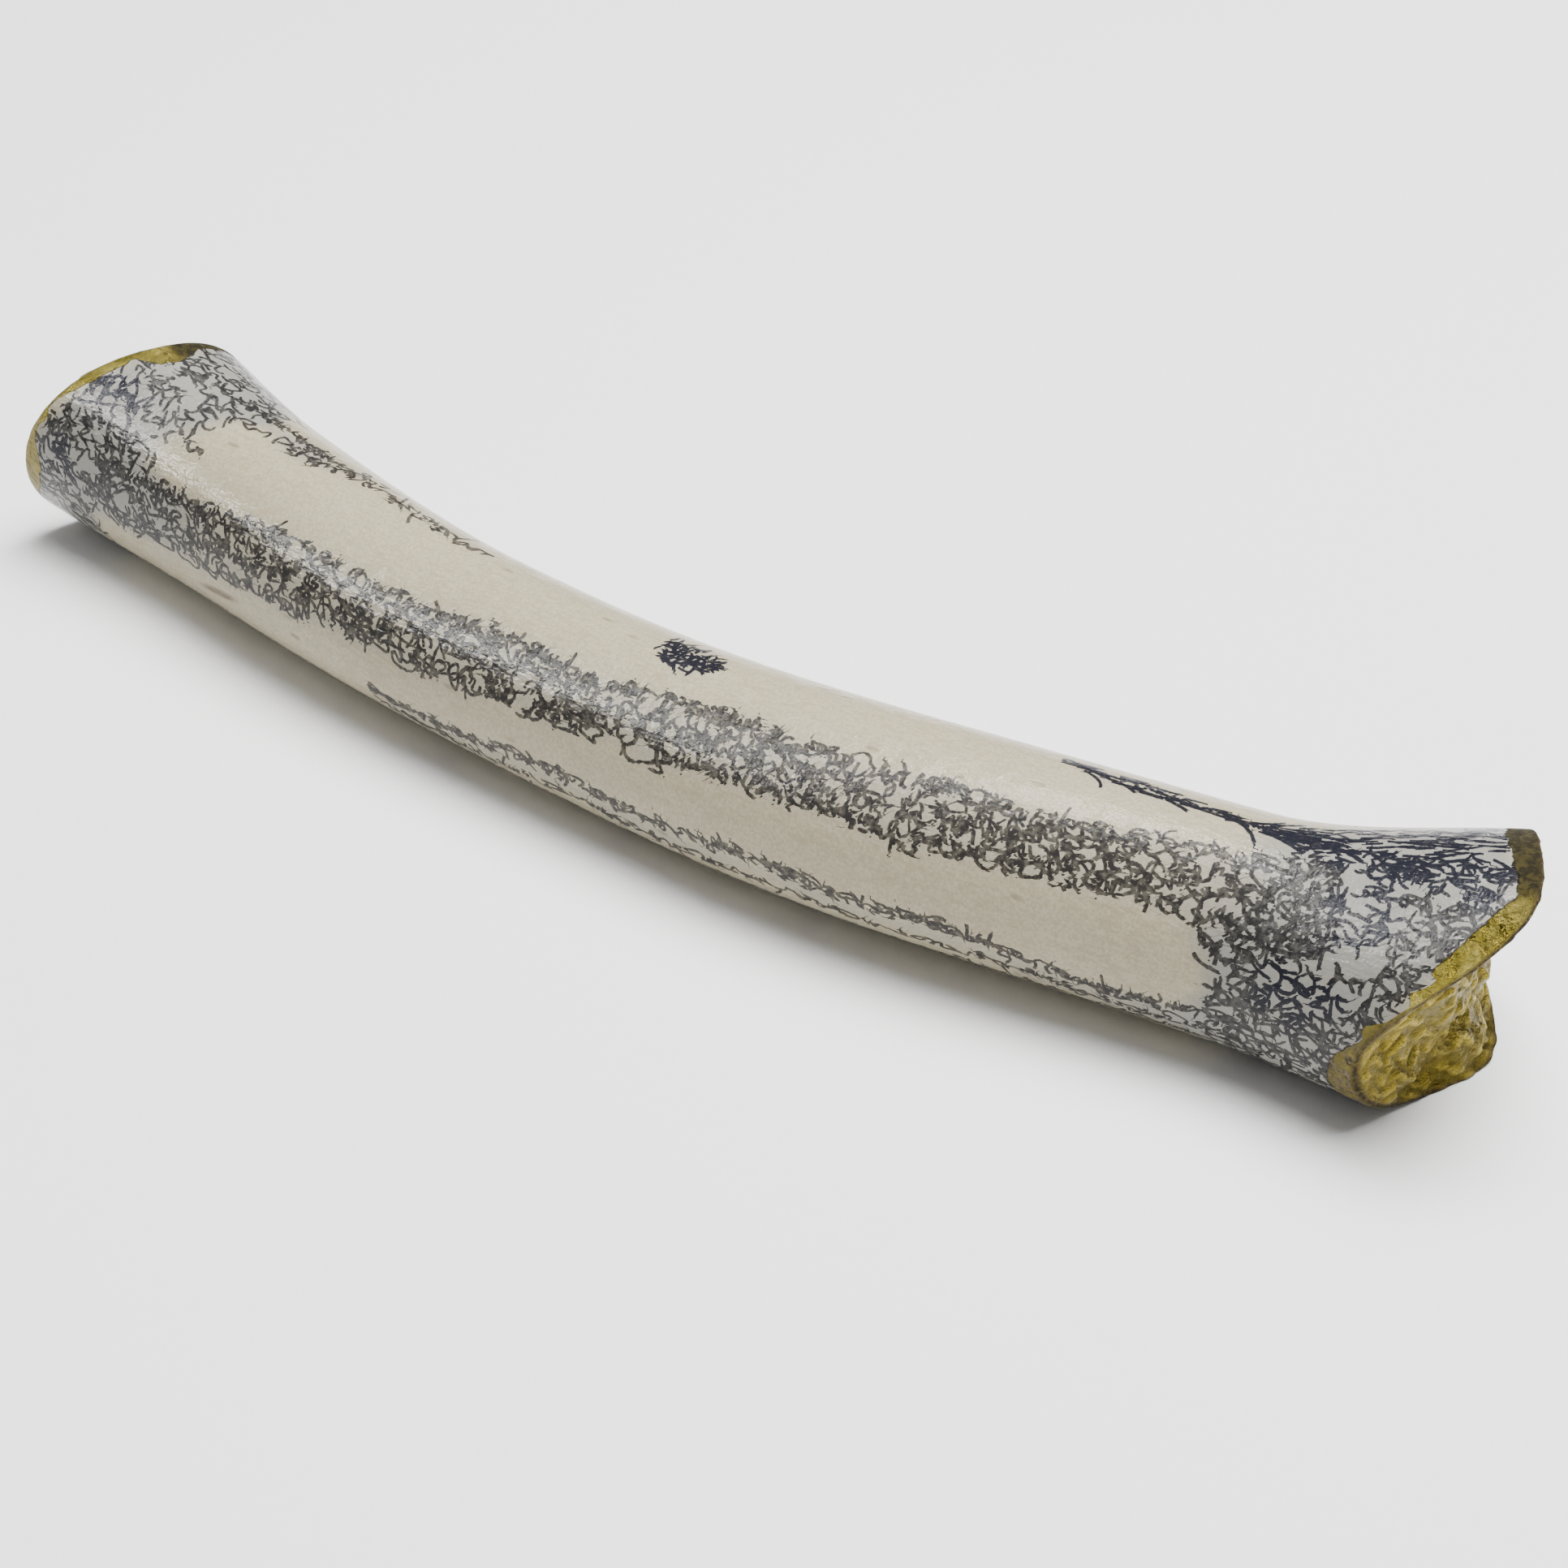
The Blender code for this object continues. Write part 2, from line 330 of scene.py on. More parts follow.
def ring_points(ring, around):
    """The points of one ring of the mesh, counted from the slim end's centre to the broad end's, and
    how deep they lie in the creases between the end faces' lumps, which sets the painted shade there."""
    slim_side = ring < LAST_RING / 2
    face = slim_face if slim_side else broad_face
    inwards = 1.0 if slim_side else -1.0
    from_end = ring if slim_side else LAST_RING - ring
    rim = face(around, 1.0)
    rounding = RIM_ROUND / section_radius(rim, around)
    if from_end < FIRST_SIDE_RING:
        corner = max(0, from_end - FACE_RINGS) / (ROUND_RINGS + 1) * math.pi / 2
        share = min(from_end, FACE_RINGS) / FACE_RINGS
        reach = share * (1 - rounding) + rounding * math.sin(corner)
        place = face(around, reach) if corner == 0 else rim
        out = reach * section_radius(rim, around)
        height = SLIM_LUMP_HEIGHT if slim_side else BROAD_LUMP_HEIGHT
        seed = SLIM_LUMP_SEED if slim_side else BROAD_LUMP_SEED
        lump = lumps(out * np.cos(around), out * np.sin(around), seed)
        fade = ease(1 - reach, -0.02, 0.10) * math.cos(corner)
        bulge = RIM_ROUND * (1 - math.cos(corner))
        rise = height * (lump - 0.75) * fade
        return bone_points(place + inwards * (bulge - rise), around, reach), (1 - lump) * fade
    return bone_points(place_along(ring, around), around, 1.0), 0.0


def bowl(rng):
    """An open arc."""
    radius = rng.uniform(0.38, 0.62)
    sweep = rng.uniform(1.7, 3.4)
    return [(radius * math.cos(t), radius * math.sin(t)) for t in np.linspace(0, sweep, 12)]


def crook(rng):
    """A stem with a curl at its end."""
    stem = rng.uniform(0.5, 1.1)
    radius = rng.uniform(0.18, 0.32)
    curl = np.linspace(math.pi, math.pi - rng.uniform(3.0, 5.0), 12)
    points = [(0.0, -stem), (0.02, -stem * 0.5)]
    return points + [(radius + radius * math.cos(t), radius * math.sin(t)) for t in curl]


def wriggle(rng):
    """Two or three short waves."""
    waves = rng.uniform(1.5, 3.2)
    rise = rng.uniform(0.16, 0.34)
    length = 0.42 * waves
    return [(length * (t - 0.5), rise * math.sin(2 * math.pi * waves * t)) for t in np.linspace(0, 1, 22)]


def bent_dash(rng):
    """A short stroke with a bend in it."""
    half = rng.uniform(0.35, 0.6)
    lift = rng.uniform(0.1, 0.35)
    return [(-half, 0.0), (-half * 0.3, lift), (half * 0.3, lift * 0.6), (half, -lift * 0.4)]


def peaks(rng):
    """Two or three pointed strokes up and down."""
    points = [(-0.5, -0.3)]
    for number in range(rng.randint(2, 4)):
        x = -0.5 + (number + 1) * rng.uniform(0.28, 0.4)
        points.append((x, rng.uniform(0.25, 0.6) * (1 if number % 2 == 0 else -1)))
    return points


# The marks of the full bands, of the sparse rows, and of the nets round the ends.
MARKS = (bowl,) * 6 + (crook,) + (wriggle,) * 4 + (peaks,) * 2 + (bent_dash,)
ROW_MARKS = (wriggle,) * 3 + (bent_dash,) * 3 + (peaks,) * 2
NET_MARKS = (bowl,) * 4 + (peaks,) * 3 + (wriggle,) * 2 + (bent_dash,) * 2


def softened(points):
    """A line's points with its corners cut, twice."""
    line = np.array(points, float)
    for _ in range(2):
        ahead = 0.75 * line[:-1] + 0.25 * line[1:]
        behind = 0.25 * line[:-1] + 0.75 * line[1:]
        middle = np.stack([ahead, behind], 1).reshape(-1, 2)
        line = np.concatenate([line[:1], middle, line[-1:]])
    return line


def scribble(rng, length, pitch, marks):
    """Pen lines in a row of that length, in units of the marks' height. Each mark is turned at random."""
    lines = []
    joined = []
    x = rng.uniform(0.0, pitch)
    while x < length:
        turn = rng.uniform(0, 2 * math.pi)
        grow = rng.uniform(0.72, 1.05)
        rise = 0.5 + rng.uniform(-0.16, 0.16)
        cos, sin = grow * math.cos(turn), grow * math.sin(turn)
        mark = [(x + px * cos - py * sin, rise + px * sin + py * cos) for px, py in rng.choice(marks)(rng)]
        if rng.random() < PEN_LIFTS:
            lines.append(joined)
            joined = []
        joined = joined + mark
        if rng.random() < TALL_STROKES:
            lean = rng.uniform(-0.6, 0.7)
            up = rng.choice((1, 1, -1))
            tip = (x + lean, 0.4 + rng.uniform(0.9, 1.4) * up)
            lines.append([(x, 0.4), (x + lean * 0.4, 0.4 + 0.6 * up), tip])
        x += pitch * rng.uniform(0.75, 1.25)
    lines.append(joined)
    return [softened(line) for line in lines if len(line) > 2]


def on_path(stations, travel, rise):
    """Places along X and angles, from distances along a path on the surface and heights over it."""
    places, degrees = np.array(stations, float).T
    along = places * SPAN / 2
    angles = np.radians(degrees)
    radius = section_radius(along, angles)
    climbs = np.diff(angles) * (radius[1:] + radius[:-1]) / 2
    headings = np.arctan2(climbs, np.diff(along))
    travelled = np.concatenate([[0.0], np.cumsum(np.hypot(np.diff(along), climbs))])
    heading = np.interp(travel, (travelled[1:] + travelled[:-1]) / 2, headings)
    foot = np.interp(travel, travelled, angles)
    place = np.interp(travel, travelled, along)
    around = foot + rise * np.cos(heading) / section_radius(place, foot)
    return place - rise * np.sin(heading), around, travelled[-1]


def row_strokes(rng, stations, size, pitch, marks):
    """Pen lines along a row, whose foot runs through the stations: (u, degrees round the bone)."""
    length = on_path(stations, np.zeros(1), 0.0)[2]
    drift = rng.uniform(0, 6.3)
    strokes = []
    for line in scribble(rng, length / size, pitch, marks):
        lift = line[:, 1] + 0.2 * np.sin(line[:, 0] * 0.45 + drift)
        along, around, _ = on_path(stations, line[:, 0] * size, lift * size)
        strokes.append((along, around, rng.uniform(*UNEVEN), False))
    return strokes


def band_row(band, share, tall=0.0):
    """The stations of a row that is so many degrees tall, at a share of the way across a band."""
    return [(u, low + (high - tall - low) * share) for u, low, high in band]


def band_strokes(rng, band, rows, size, pitch, marks=MARKS):
    """A band filled with rows, spread evenly over it."""
    tall = math.degrees(size / SHAFT_RADIUS) * 0.85
    strokes = []
    for row in range(rows):
        share = (row + rng.uniform(-0.1, 0.1)) / (rows - 1)
        strokes += row_strokes(rng, band_row(band, share, tall), size * rng.uniform(0.9, 1.1), pitch, marks)
    return strokes


def loose_stroke(rng, u, degrees, length, heading, bending=900.0, width=1.0, bold=False):
    """A curved stroke from a place on the bone, in a direction in radians from the bone's length."""
    bend = rng.uniform(-bending, bending)
    twist = rng.uniform(-0.6, 0.6) * bending
    travel = np.arange(0.0, length, PEN_STEP)
    turning = heading + bend * travel + twist * travel**2 / length
    place = u * SPAN / 2
    radius = section_radius(place, UPPER_FRONT)
    along = place + np.cumsum(np.cos(turning)) * PEN_STEP
    around = math.radians(degrees) + np.cumsum(np.sin(turning)) * PEN_STEP / radius
    return along, around, width * rng.uniform(*UNEVEN), bold


def dense_limits(degrees, slim, rng):
    """The dense marks' edge and the gold leaf's edge at an angle, as u."""
    border, leaf = (SLIM_DENSE_TO, SLIM_LEAF) if slim else (BROAD_DENSE_FROM, BROAD_LEAF)
    rim = slim_face if slim else broad_face
    turned = (degrees + 180) % 360 - 180
    edge = read_off(border, turned) + rng.uniform(-0.02, 0.02)
    gilded = read_off(leaf, turned) / MILLIMETRES - UNDER_LEAF
    stop = rim(np.array([math.radians(degrees)]), 1.0)[0]
    stop = (stop + gilded if slim else stop - gilded) / (SPAN / 2)
    return (stop, edge) if slim else (edge, stop)


def end_rows(rng, slim, size, apart, wander, start, stop):
    """Rows round an end, each from the edge of the dense marks to the edge of the gold leaf."""
    strokes = []
    degrees = start
    while degrees < stop:
        first, last = dense_limits(degrees, slim, rng)
        turn = rng.uniform(-wander, wander)
        stations = ((first, degrees - turn), (last, degrees + turn))
        strokes += row_strokes(rng, stations, size * rng.uniform(0.85, 1.1), 0.85, NET_MARKS)
        degrees += apart * rng.uniform(0.8, 1.2)
    return strokes


def tangle(rng, slim, count, reach, start, stop):
    """Loose curved strokes in every direction over an end, as long as reach and less."""
    strokes = []
    for _ in range(count):
        degrees = rng.uniform(start, stop)
        first, last = dense_limits(degrees, slim, rng)
        u = rng.uniform(first, last)
        if rng.random() < BY_LEAF:
            stray = abs(rng.gauss(0, BY_LEAF_REACH))
            u = first + stray if slim else last - stray
        heading = rng.uniform(0, 2 * math.pi)
        strokes.append(loose_stroke(rng, u, degrees, reach * rng.uniform(0.4, 1.0), heading))
    return strokes


def flecks(rng, band, count, reach, width, heading, spread, bending, clear=0.0):
    """Heavy dark strokes in a band, at about a heading in radians from the bone's length.

    Each keeps clear of the others by that many metres where there is room."""
    strokes = []
    taken = []
    places, low, high = np.array(band, float).T
    for _ in range(count):
        for _ in range(FLECK_TRIES):
            u = rng.uniform(places[0], places[-1])
            degrees = rng.uniform(np.interp(u, places, low), np.interp(u, places, high))
            spot = (ENDWAYS * u * SPAN / 2, math.radians(degrees) * SHAFT_RADIUS)
            if all(math.dist(spot, other) > clear for other in taken):
                break
        taken.append(spot)
        turned = rng.gauss(heading, spread)
        length = reach * rng.uniform(0.4, 1.0)
        strokes.append(loose_stroke(rng, u, degrees, length, turned, bending, width, True))
    return strokes


def darkened(rng, strokes):
    """The strokes, with about half of those in the dark spots made bold."""
    result = []
    for along, around, width, bold in strokes:
        u = along.mean() / (SPAN / 2)
        degrees = math.degrees(around.mean())
        for spot_u, spot_degrees, reach_u, reach_degrees in DARK_SPOTS:
            near = math.hypot((u - spot_u) / reach_u, (degrees - spot_degrees) / reach_degrees) < 1
            if near and not bold and rng.random() < DARKENED:
                width, bold = width * DARK_WIDTH, True
        result.append((along, around, width, bold))
    return result


def all_strokes(size):
    """Every pen line on the bone, as (places along X, angles, share of the pen's width, bold)."""
    rng = random.Random(SEED)

    def row(band, share, height, pitch):
        return row_strokes(rng, band_row(band, share), size * height, pitch, ROW_MARKS)

    # Two layers of rows along the front, then the sparser rows, and the heavy strokes among them.
    strokes = band_strokes(rng, FRONT_BAND, 4, size * 1.05, 0.54)
    strokes += band_strokes(rng, FRONT_BAND[:3] + FRONT_BAND[6:], 3, size, 0.9)
    strokes += band_strokes(rng, LOW_BAND, 3, size * 0.85, 0.75, ROW_MARKS)
    strokes += row(LOW_BAND, 0.8, 0.9, 1.3)
    strokes += row(TOP_ROW, 0.1, 1.0, 0.6)
    strokes += row(TOP_ROW[:3], 0.6, 0.95, 0.6)
    strokes += flecks(rng, SIDE_MARK, 120, 0.0015, 1.0, 0.5, spread=1.0, bending=900.0)
    strokes += row(BOLD_ROW, 0.3, 0.5, 1.2)
    strokes += flecks(rng, BOLD_ROW, 34, 0.0042, 1.35, -0.1, spread=0.22, bending=200.0, clear=0.00045)
    strokes += band_strokes(rng, BACK_ROWS, 3, size, 0.62, ROW_MARKS)
    strokes += row(UNDER_ROW, 0.2, 0.9, 0.7)
    # The nets round the ends: on the front and the top, and then on the far side.
    strokes += end_rows(rng, True, size * 0.9, 9.5, 10, -75, 150)
    strokes += tangle(rng, True, 260, 0.0024, -75, 140)
    strokes += end_rows(rng, False, size * 1.15, 9.0, 9, -75, 88)
    strokes += tangle(rng, False, 430, 0.0028, -75, 90)
    strokes += flecks(rng, BROAD_FLECKS, 170, 0.0025, 1.3, 0.05, spread=0.22, bending=300.0, clear=0.00062)
    strokes += end_rows(rng, True, size, 11, 10, 150, 285)
    strokes += tangle(rng, True, 70, 0.0024, 150, 285)
    strokes += end_rows(rng, False, size, 10, 10, 120, 285)
    strokes += tangle(rng, False, 110, 0.0030, 125, 285)
    return darkened(rng, strokes)


def resampled(along, around, step):
    """The same line with its points a step apart on the surface."""
    points = bone_points(along, around, 1.0)
    travelled = np.concatenate([[0.0], np.cumsum(np.linalg.norm(np.diff(points, axis=0), axis=1))])
    count = max(2, int(round(travelled[-1] / step)) + 1)
    wanted = np.linspace(0, travelled[-1], count)
    return np.interp(wanted, travelled, along), np.interp(wanted, travelled, around)


def lay_ink(grid, strokes, half_width):
    """For each face of the side, the distance from its corners to each mark that crosses it.

    Distances are in half pen widths, with a sign for the side of the mark, so that they run straight
    across a face. The result has the axes ring, step round the bone, corner and slot."""
    rings, steps = grid.shape[0] - 1, grid.shape[1]
    ink = np.full((rings, steps, 4, PEN_SLOTS), PEN_FAR, np.float32)
    used = np.zeros((rings, steps), int)
    bold_faces = np.zeros((rings, steps), np.float32)
    for along, around, width, bold in strokes:
        along, around = resampled(along, around, PEN_STEP)
        line = bone_points(along, around, 1.0)
        start, end = side_start(around), side_end(around)
        ring = (along - start) / (end - start) * rings
        step = around / (2 * math.pi) * steps
        inside = (ring > 0.5) & (ring < rings - 0.5)
        for first in range(0, len(line) - 1, PEN_PIECE):
            part = slice(first, min(first + PEN_PIECE, len(line) - 1) + 1)
            if not inside[part].all():
                continue
            low_ring = max(0, int(ring[part].min() - PEN_MARGIN))
            high_ring = min(rings, int(ring[part].max() + PEN_MARGIN + 1))
            low_step = int(math.floor(step[part].min() - PEN_MARGIN))
            high_step = int(math.floor(step[part].max() + PEN_MARGIN + 1))
            columns = np.arange(low_step, high_step + 1) % steps
            window = grid[low_ring : high_ring + 1][:, columns]
            outwards = np.cross(window[-1, 0] - window[0, 0], window[0, -1] - window[0, 0])
            places = np.stack([window[:-1, :-1], window[1:, :-1], window[1:, 1:], window[:-1, 1:]], 2)
            foot, heading, beyond, _ = nearest_on_line(places.mean(2), line[part])
            away = nearest_on_line(places, line[part])[3]
            across = np.cross(outwards, heading)[:, :, None]
            corners = away * np.where(((places - foot[:, :, None]) * across).sum(-1) < 0, -1, 1)
            corners = corners / (half_width * width)
            crosses = (corners.min(-1) < 0) & (corners.max(-1) > 0)
            chosen = (beyond < PEN_PAST) & (crosses | (np.abs(corners).min(-1) < PEN_NEAR))
            i, j = np.nonzero(chosen)
            faces = low_ring + i, columns[:-1][j]
            free = used[faces] < PEN_SLOTS
            i, j, faces = i[free], j[free], (faces[0][free], faces[1][free])
            ink[faces[0], faces[1], :, used[faces]] = corners[i, j]
            used[faces] += 1
            if bold:
                bold_faces[faces] = 1.0
    return ink, used, bold_faces


def nearest_on_line(points, line):
    """For each point: the nearest point of a short line, the line's heading there, how far past the
    line's ends the point lies, and its distance."""
    start = line[:-1]
    edge = line[1:] - start
    length = np.maximum(np.linalg.norm(edge, axis=-1), 1e-9)
    share = ((points[..., None, :] - start) * edge).sum(-1) / length**2
    foot = start + np.clip(share, 0, 1)[..., None] * edge
    distance = np.linalg.norm(points[..., None, :] - foot, axis=-1)
    best = distance.argmin(-1)[..., None]
    before = -share[..., 0] * length[0]
    after = (share[..., -1] - 1) * length[-1]
    beyond = np.where(best[..., 0] == 0, before, np.where(best[..., 0] == len(start) - 1, after, 0.0))
    foot = np.take_along_axis(foot, best[..., None], -2)[..., 0, :]
    return foot, edge[best[..., 0]], beyond, np.take_along_axis(distance, best, -1)[..., 0]


def blurred(values, reach):
    """Values on the side's grid, averaged over a square of faces. The grid closes round the bone."""
    total = values.astype(float)
    for axis, wrap in ((0, "edge"), (1, "wrap")):
        pad = [(0, 0), (0, 0)]
        pad[axis] = (reach, reach)
        sums = np.cumsum(np.pad(total, pad, mode=wrap), axis=axis)
        sums = np.insert(sums, 0, 0, axis=axis)
        width = 2 * reach + 1
        upper = np.take(sums, range(width, sums.shape[axis]), axis=axis)
        lower = np.take(sums, range(sums.shape[axis] - width), axis=axis)
        total = (upper - lower) / width
    return total


class Value:
    """A shader socket that Python's arithmetic works on."""

    def __init__(self, shader, socket):
        self.shader = shader
        self.socket = socket

    def beside(self, output):
        """Another output of the same node."""
        return Value(self.shader, self.socket.node.outputs[output])

    def math(self, operation, *others):
        inputs = dict(enumerate((self,) + others))
        return self.shader.node("ShaderNodeMath", {"operation": operation}, inputs)

    def __add__(self, other):
        return self.math("ADD", other)

    __radd__ = __add__

    def __mul__(self, other):
        return self.math("MULTIPLY", other)

    __rmul__ = __mul__

    def __sub__(self, other):
        return self.math("SUBTRACT", other)

    def __rsub__(self, other):
        return self.math("MULTIPLY", -1.0) + other

    def __abs__(self):
        return self.math("ABSOLUTE")

    def least(self, other):
        return self.math("MINIMUM", other)

    def most(self, other):
        return self.math("MAXIMUM", other)

    def ramp(self, start, end):
        """0 at start and 1 at end, with a smooth S between. start may be the larger."""
        settings = {"interpolation_type": "SMOOTHSTEP"}
        if start <= end:
            return self.shader.node("ShaderNodeMapRange", settings, {0: self, 1: start, 2: end})
        return self.shader.node("ShaderNodeMapRange", settings, {0: self, 1: end, 2: start, 3: 1.0, 4: 0.0})


class Shader:
    """A material's or a world's node tree, with one method that adds any node."""

    def __init__(self, owner, surface="Principled BSDF"):
        owner.use_nodes = True
        self.owner = owner
        self.tree = owner.node_tree
        self.surface = self.tree.nodes[surface]

    def node(self, kind, settings=None, inputs=None, output=0):
        """Adds a node with its settings first, then values or links. Gives one of its outputs."""
        made = self.tree.nodes.new(kind)
        for key, value in (settings or {}).items():
            setattr(made, key, value)
        self.feed(made, inputs or {})
        return Value(self, made.outputs[output])

    def feed(self, node, inputs):
        for key, value in inputs.items():
            if isinstance(value, Value):
                self.tree.links.new(value.socket, node.inputs[key])
            else:
                node.inputs[key].default_value = value

    def attribute(self, name, output="Fac"):
        return self.node("ShaderNodeAttribute", {"attribute_name": name}, output=output)

    def place(self, scale):
        """Object coordinates, stretched."""
        coordinates = self.node("ShaderNodeTexCoord", output="Object")
        return self.node("ShaderNodeMapping", inputs={0: coordinates, "Scale": scale})

    def noise(self, scale, detail=3.0, roughness=0.5, stretch=(1, 1, 1), distortion=0.0):
        inputs = {"Vector": self.place(stretch), "Scale": scale, "Detail": detail}
        inputs.update({"Roughness": roughness, "Distortion": distortion})
        return self.node("ShaderNodeTexNoise", inputs=inputs)

    def mix(self, share, first, second):
        """A colour between two colours."""
        first, second = [c if isinstance(c, Value) else (*c, 1.0) for c in (first, second)]
        return self.node("ShaderNodeMix", {"data_type": "RGBA"}, {0: share, 6: first, 7: second}, output=2)

    def bump(self, height, unit):
        """A normal from heights in that unit, in metres."""
        return self.node("ShaderNodeBump", inputs={"Height": height, "Distance": unit})


def pen_cover(shader):
    """How much ink covers each spot, from the distances that the mesh holds."""
    nearest = None
    for name in ("pen_a", "pen_b"):
        colour = shader.attribute(name, "Color")
        split = shader.node("ShaderNodeSeparateColor", inputs={0: colour})
        for channel in [split.beside(k) for k in range(3)] + [colour.beside("Alpha")]:
            nearest = abs(channel) if nearest is None else nearest.least(abs(channel))
    ragged = shader.noise(2600.0, 2.0, 0.6)
    pressure = shader.noise(700.0, 1.0)
    return (nearest + (ragged - 0.5) * 0.6 + (pressure - 0.5) * 0.9).ramp(1.2, 0.75)


def tinted(colour, *shares):
    """A colour whose red, green and blue are shares of another's."""
    return tuple(c * share for c, share in zip(colour, shares))


def bare_bone(shader, ivory):
    """Dry bone with clouds, grain, pores, specks, stains, painted shade towards the back and washed ink:
    colour, roughness and height.
    """
    clouds = shader.noise(110.0, 5.0, 0.6)
    grain = shader.noise(900.0, 3.0, 0.6, (0.07, 1, 1))
    fine = shader.noise(2200.0, 2.0, 0.5, (0.3, 1, 1))
    uneven = shader.noise(420.0, 3.0, 0.55)
    speck = shader.noise(3400.0, 1.0)
    cells = shader.node("ShaderNodeTexVoronoi", inputs={"Vector": shader.place((0.35, 1, 1)), "Scale": 620.0})
    pore = cells.ramp(0.22, 0.10) * shader.noise(160.0, 2.0).ramp(0.5, 0.62)
    colour = shader.mix(clouds.ramp(0.35, 0.68), tinted(ivory, 0.77, 0.75, 0.69), ivory)
    colour = shader.mix(grain.ramp(0.42, 0.70) * 0.65, colour, tinted(ivory, 0.78, 0.73, 0.64))
    colour = shader.mix(fine.ramp(0.35, 0.7) * 0.5, tinted(ivory, 1.06, 1.06, 1.06), colour)
    colour = shader.mix(pore * 0.55, colour, PORE)
    colour = shader.mix(speck.ramp(0.35, 0.70) * 0.55, colour, tinted(ivory, 0.74, 0.71, 0.66))
    colour = shader.mix(shader.attribute("stain") * (fine * 0.5 + 0.6).least(1.0), colour, STAIN)
    # Painted shade: the bone darker from the top towards the back, and more so towards the broad end.
    colour = shader.mix(shader.attribute("painted_back_shade") * 0.85, colour, tinted(ivory, 0.52, 0.48, 0.40))
    colour = shader.mix(shader.attribute("wash") * 0.72, colour, WASH)
    rough = grain * 0.12 + uneven * 0.12 + 0.06
    height = grain * 0.045 + fine * 0.06 + uneven * 0.12 + speck * 0.03 - pore * 0.04
    return colour, rough, height


def gold_leaf(shader, gold, gilded):
    """Crumpled leaf, dull and worn in places, with painted shade in its hollows, in the end faces' creases,
    on the end faces, where it is dull and where it is scuffed: colour, roughness, height and share of metal.
    """
    mottle = shader.noise(330.0, 4.0, 0.6)
    crumple = shader.noise(1150.0, 5.0, 0.68, distortion=0.3)
    wrinkle = shader.noise(2300.0, 3.0, 0.6)
    end_face = shader.attribute("end_face")
    # Dull leaf, also darkened as painted shade, on the side bands only.
    dull_shade = shader.attribute("dull_shade") * (1 - end_face)
    # The end faces get a darker, greyer copy of the leaf's colours: painted shade.
    bright = shader.mix(end_face, tinted(gold, 0.80, 0.80, 0.74), tinted(gold, 1.15, 1.06, 0.60))
    dull = shader.mix(end_face, tinted(gold, 0.50, 0.49, 0.30), tinted(gold, 0.74, 0.70, 0.34))
    colour = shader.mix(mottle.ramp(0.40, 0.62), dull, bright)
    # Painted shade in the crumpled leaf's hollows, less on the end faces.
    hollow_shade = crumple.ramp(0.47, 0.33) * (0.85 - end_face * 0.2)
    colour = shader.mix(hollow_shade, colour, tinted(gold, 0.16, 0.145, 0.06))
    darkest, dark = tinted(gold, 0.05, 0.05, 0.09), tinted(gold, 0.13, 0.13, 0.16)
    # Painted shade where the leaf is dull.
    colour = shader.mix(dull_shade, colour, shader.mix(crumple.ramp(0.44, 0.62), darkest, dark))
    # Painted shade in the creases between the end faces' lumps.
    crease_shade = shader.attribute("crease_shade").ramp(0.20, 0.85) * 0.75
    colour = shader.mix(crease_shade, colour, tinted(gold, 0.30, 0.28, 0.16))
    worn = shader.attribute("rim") * crumple.ramp(0.30, 0.50)
    # Scuffed leaf low on the broad end's front: partly wear, partly painted shade.
    scuff_and_shade = shader.attribute("scuff_and_shade") * crumple.ramp(0.58, 0.46)
    spotty = wrinkle.ramp(0.4, 0.6)
    colour = shader.mix(scuff_and_shade, colour, shader.mix(spotty, *SCUFFED_AND_SHADED))
    colour = shader.mix(worn, colour, shader.mix(spotty, *WORN_RIM))
    worn = worn.most(scuff_and_shade)
    rough = mottle * 0.16 + 0.10 + worn * 0.3 + dull_shade * 0.6 + end_face * 0.06
    height = crumple * 0.6 + wrinkle * 0.15
    return colour, rough, height, gilded * (1 - worn * 0.6) * (1 - dull_shade)


def bone_material(settings):
    """Dry bone, pen marks over it, and gold leaf with torn edges over both at the ends."""
    shader = Shader(bpy.data.materials.new("inked_gilded_bone"))
    bone, bone_rough, bone_height = bare_bone(shader, settings.ivory)

    cover = pen_cover(shader)
    navy = shader.attribute("navy")
    load = (shader.noise(1500.0, 3.0, 0.6).ramp(0.3, 0.6) * 0.22 + 0.75 + navy * 0.15).least(0.98)
    inked = shader.mix(cover * load, bone, shader.mix(navy * 0.8, settings.ink, NAVY))
    bone_rough = bone_rough + cover * 0.06

    torn = (shader.noise(420.0, 4.0, 0.65) - 0.5) * 1.3
    gilded = (shader.attribute("leaf") + torn).ramp(-0.08, 0.08)
    leaf, leaf_rough, leaf_height, metal = gold_leaf(shader, settings.gold, gilded)
    rough = bone_rough + gilded * (leaf_rough - bone_rough)
    height = bone_height + gilded * (leaf_height - bone_height)
    inputs = {"Base Color": shader.mix(gilded, inked, leaf), "Roughness": rough, "Metallic": metal}
    inputs.update({"Normal": shader.bump(height, 0.001), "Specular IOR Level": 0.12})
    shader.feed(shader.surface, inputs)
    return shader.owner


